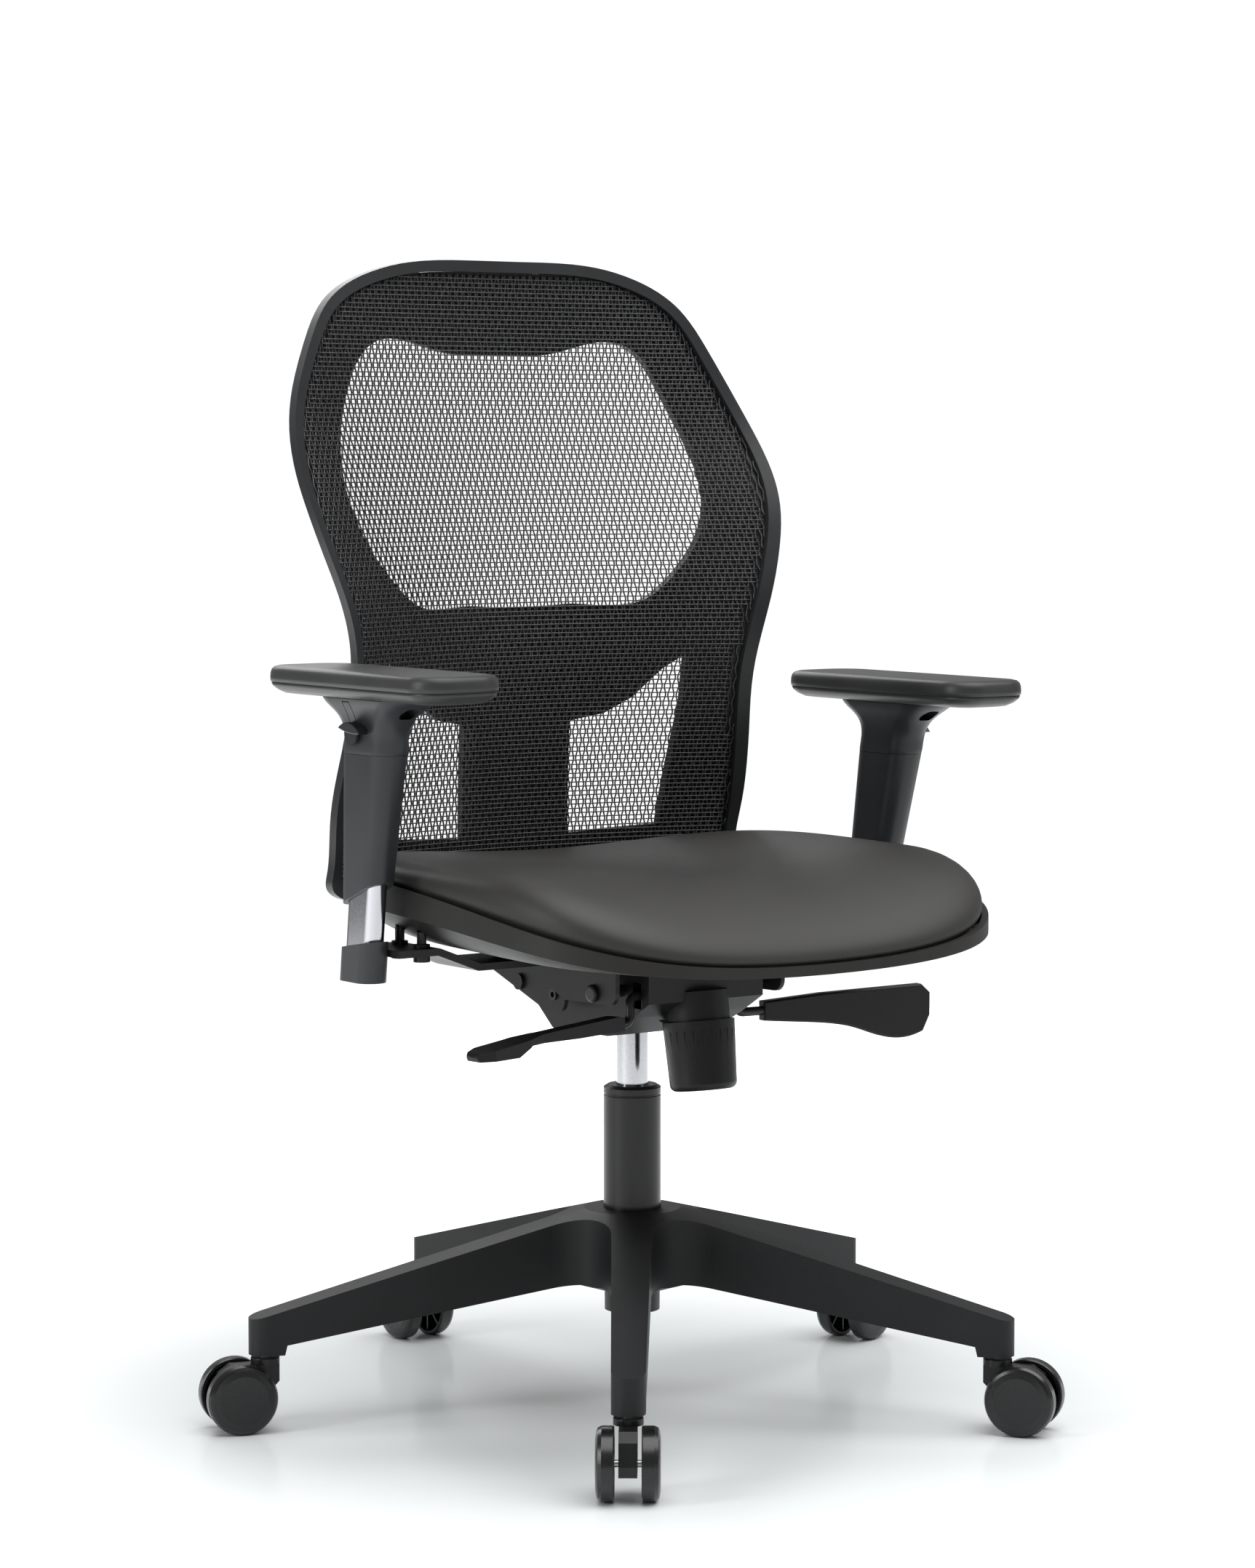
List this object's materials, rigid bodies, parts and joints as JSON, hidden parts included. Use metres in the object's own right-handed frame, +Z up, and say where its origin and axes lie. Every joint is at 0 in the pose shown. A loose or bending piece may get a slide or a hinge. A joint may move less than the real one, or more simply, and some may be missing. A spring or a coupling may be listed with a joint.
{
  "type": "office chair",
  "caption": "Swivel office chair with a mesh back in a moulded frame, a padded seat, lifting armrests, a synchro-tilt mechanism, a gas lift and a castor star base.",
  "frame": {"origin": "on the floor, under the swivel axis", "axes": "+Z up, the seat faces -Y, the sitter's right-hand side is -X"},
  "size_m": [0.7368, 0.7012, 0.9981],
  "materials": {
    "base_nylon": "fine-grained black nylon",
    "column_black": "satin black",
    "bush_plastic": "smooth black",
    "steel": "plain steel",
    "chrome": "polished",
    "mech_paint": "satin black powder coat",
    "lever_plastic": "satin black",
    "lever_steel": "black",
    "pan_plastic": "fine-grained black",
    "plywood": "plain ply",
    "cushion_vinyl": "smooth dark grey vinyl",
    "back_plastic": "satin black",
    "mesh_fabric": "stretched black mesh",
    "arm_paint": "black powder coat",
    "arm_plastic": "satin black",
    "arm_pad_rubber": "soft moulded, satin",
    "castor_plastic": "black",
    "castor_wheel": "black with a glossy rim"
  },
  "bodies": {
    "base": {"star_base": "base_nylon", "column_tube": "column_black", "column_bush": "bush_plastic", "thrust_bearing": "steel", "castor_stems": "steel"},
    "lift_rod": {"piston_rod": "chrome"},
    "mechanism": {"gas_cylinder": "chrome", "mech_housing": "mech_paint", "pivot_pins": "lever_steel", "tension_spring": "steel"},
    "release": {"release_pin": "steel"},
    "lift_lever": {"lift_lever_rod": "lever_steel", "lift_paddle": "lever_plastic"},
    "lock_lever": {"lock_lever_rod": "lever_steel", "lock_paddle": "lever_plastic"},
    "tension_knob": {"tension_knob": "lever_plastic"},
    "seat": {"seat_bracket": "mech_paint", "seat_pan": "pan_plastic", "seat_board": "plywood", "seat_cushion": "cushion_vinyl", "seat_screws": "lever_steel", "arm_bracket_left": "arm_paint", "arm_cup_left": "arm_plastic", "arm_post_left": "chrome", "arm_bracket_right": "arm_paint", "arm_cup_right": "arm_plastic", "arm_post_right": "chrome"},
    "back": {"back_bar": "mech_paint", "back_carcass": "back_plastic", "back_rim": "back_plastic", "back_mesh": "mesh_fabric", "back_screws": "chrome"},
    "arm_left": {"arm_sleeve_left": "arm_plastic", "arm_head_left": "arm_plastic", "arm_pad_left": "arm_pad_rubber"},
    "trigger_left": {"arm_trigger_left": "arm_plastic"},
    "arm_right": {"arm_sleeve_right": "arm_plastic", "arm_head_right": "arm_plastic", "arm_pad_right": "arm_pad_rubber"},
    "trigger_right": {"arm_trigger_right": "arm_plastic"},
    "castor_1": {"castor_hood_1": "castor_plastic", "castor_axle_1": "steel"},
    "wheel_1a": {"castor_wheel_1a": "castor_wheel"},
    "wheel_1b": {"castor_wheel_1b": "castor_wheel"},
    "castor_2": {"castor_hood_2": "castor_plastic", "castor_axle_2": "steel"},
    "wheel_2a": {"castor_wheel_2a": "castor_wheel"},
    "wheel_2b": {"castor_wheel_2b": "castor_wheel"},
    "castor_3": {"castor_hood_3": "castor_plastic", "castor_axle_3": "steel"},
    "wheel_3a": {"castor_wheel_3a": "castor_wheel"},
    "wheel_3b": {"castor_wheel_3b": "castor_wheel"},
    "castor_4": {"castor_hood_4": "castor_plastic", "castor_axle_4": "steel"},
    "wheel_4a": {"castor_wheel_4a": "castor_wheel"},
    "wheel_4b": {"castor_wheel_4b": "castor_wheel"},
    "castor_5": {"castor_hood_5": "castor_plastic", "castor_axle_5": "steel"},
    "wheel_5a": {"castor_wheel_5a": "castor_wheel"},
    "wheel_5b": {"castor_wheel_5b": "castor_wheel"}
  },
  "joints": [
    {"name": "castor_swivel_1", "type": "hinge", "parent": "base", "child": "castor_1", "pos_m": [0, 0.327, 0.05], "axis": [0, 0, 1], "continuous": true},
    {"name": "castor_wheel_1a", "type": "hinge", "parent": "castor_1", "child": "wheel_1a", "pos_m": [0, 0.3505, 0.03], "axis": [-1, 0, 0], "continuous": true},
    {"name": "castor_wheel_1b", "type": "hinge", "parent": "castor_1", "child": "wheel_1b", "pos_m": [0, 0.3505, 0.03], "axis": [-1, 0, 0], "continuous": true},
    {"name": "castor_swivel_2", "type": "hinge", "parent": "base", "child": "castor_2", "pos_m": [-0.311, 0.10105, 0.05], "axis": [0, 0, 1], "continuous": true},
    {"name": "castor_wheel_2a", "type": "hinge", "parent": "castor_2", "child": "wheel_2a", "pos_m": [-0.33335, 0.10831, 0.03], "axis": [-0.309, -0.9511, 0], "continuous": true},
    {"name": "castor_wheel_2b", "type": "hinge", "parent": "castor_2", "child": "wheel_2b", "pos_m": [-0.33335, 0.10831, 0.03], "axis": [-0.309, -0.9511, 0], "continuous": true},
    {"name": "castor_swivel_3", "type": "hinge", "parent": "base", "child": "castor_3", "pos_m": [-0.19221, -0.26455, 0.05], "axis": [0, 0, 1], "continuous": true},
    {"name": "castor_wheel_3a", "type": "hinge", "parent": "castor_3", "child": "wheel_3a", "pos_m": [-0.20602, -0.28356, 0.03], "axis": [0.809, -0.5878, 0], "continuous": true},
    {"name": "castor_wheel_3b", "type": "hinge", "parent": "castor_3", "child": "wheel_3b", "pos_m": [-0.20602, -0.28356, 0.03], "axis": [0.809, -0.5878, 0], "continuous": true},
    {"name": "castor_swivel_4", "type": "hinge", "parent": "base", "child": "castor_4", "pos_m": [0.19221, -0.26455, 0.05], "axis": [0, 0, 1], "continuous": true},
    {"name": "castor_wheel_4a", "type": "hinge", "parent": "castor_4", "child": "wheel_4a", "pos_m": [0.20602, -0.28356, 0.03], "axis": [0.809, 0.5878, 0], "continuous": true},
    {"name": "castor_wheel_4b", "type": "hinge", "parent": "castor_4", "child": "wheel_4b", "pos_m": [0.20602, -0.28356, 0.03], "axis": [0.809, 0.5878, 0], "continuous": true},
    {"name": "castor_swivel_5", "type": "hinge", "parent": "base", "child": "castor_5", "pos_m": [0.311, 0.10105, 0.05], "axis": [0, 0, 1], "continuous": true},
    {"name": "castor_wheel_5a", "type": "hinge", "parent": "castor_5", "child": "wheel_5a", "pos_m": [0.33335, 0.10831, 0.03], "axis": [-0.309, 0.9511, 0], "continuous": true},
    {"name": "castor_wheel_5b", "type": "hinge", "parent": "castor_5", "child": "wheel_5b", "pos_m": [0.33335, 0.10831, 0.03], "axis": [-0.309, 0.9511, 0], "continuous": true},
    {"name": "seat_swivel", "type": "hinge", "parent": "base", "child": "lift_rod", "pos_m": [0, 0, 0.1], "axis": [0, 0, 1], "continuous": true},
    {"name": "seat_height", "type": "slide", "parent": "lift_rod", "child": "mechanism", "axis": [0, 0, 1], "range_m": [-0.045, 0.065]},
    {"name": "back_tilt", "type": "hinge", "parent": "mechanism", "child": "back", "pos_m": [0, 0.003, 0.365], "axis": [-1, 0, 0], "range_deg": [0, 20], "stiffness_Nm_per_rad": 120, "springref_deg": -8.59},
    {"name": "seat_tilt", "type": "hinge", "parent": "mechanism", "child": "seat", "pos_m": [0, -0.069, 0.374], "axis": [-1, 0, 0], "range_deg": [0, 8.4]},
    {"name": "lift_lever", "type": "hinge", "parent": "mechanism", "child": "lift_lever", "pos_m": [0.06, -0.052, 0.375], "axis": [0, -1, 0], "range_deg": [0, 4.2], "stiffness_Nm_per_rad": 4, "springref_deg": -5.73},
    {"name": "release_press", "type": "slide", "parent": "mechanism", "child": "release", "axis": [0, 0, -1], "range_m": [0, 0.0045]},
    {"name": "lock_lever", "type": "hinge", "parent": "mechanism", "child": "lock_lever", "pos_m": [-0.05, -0.091, 0.372], "axis": [0, 1, 0], "range_deg": [0, 9]},
    {"name": "tension_knob_turn", "type": "hinge", "parent": "mechanism", "child": "tension_knob", "pos_m": [0, -0.0934, 0.372], "axis": [0, -0.1371, -0.9906], "range_deg": [-720, 720]},
    {"name": "arm_height_right", "type": "slide", "parent": "seat", "child": "arm_right", "axis": [-0.0374, -0.1684, 0.985], "range_m": [-0.034, 0.05]},
    {"name": "arm_trigger_right", "type": "hinge", "parent": "arm_right", "child": "trigger_right", "pos_m": [-0.29386, -0.01679, 0.598], "axis": [-1, 0, 0], "range_deg": [0, 12], "stiffness_Nm_per_rad": 0.05, "springref_deg": -5.73},
    {"name": "arm_height_left", "type": "slide", "parent": "seat", "child": "arm_left", "axis": [0.0374, -0.1684, 0.985], "range_m": [-0.012, 0.072]},
    {"name": "arm_trigger_left", "type": "hinge", "parent": "arm_left", "child": "trigger_left", "pos_m": [0.29307, -0.0132, 0.577], "axis": [1, 0, 0], "range_deg": [0, 12], "stiffness_Nm_per_rad": 0.05, "springref_deg": -5.73}
  ],
  "couplings": [
    {"joint": "seat_tilt", "follows": "back_tilt", "ratio": 0.42},
    {"joint": "release_press", "follows": "lift_lever", "m_per_rad": 0.06}
  ]
}
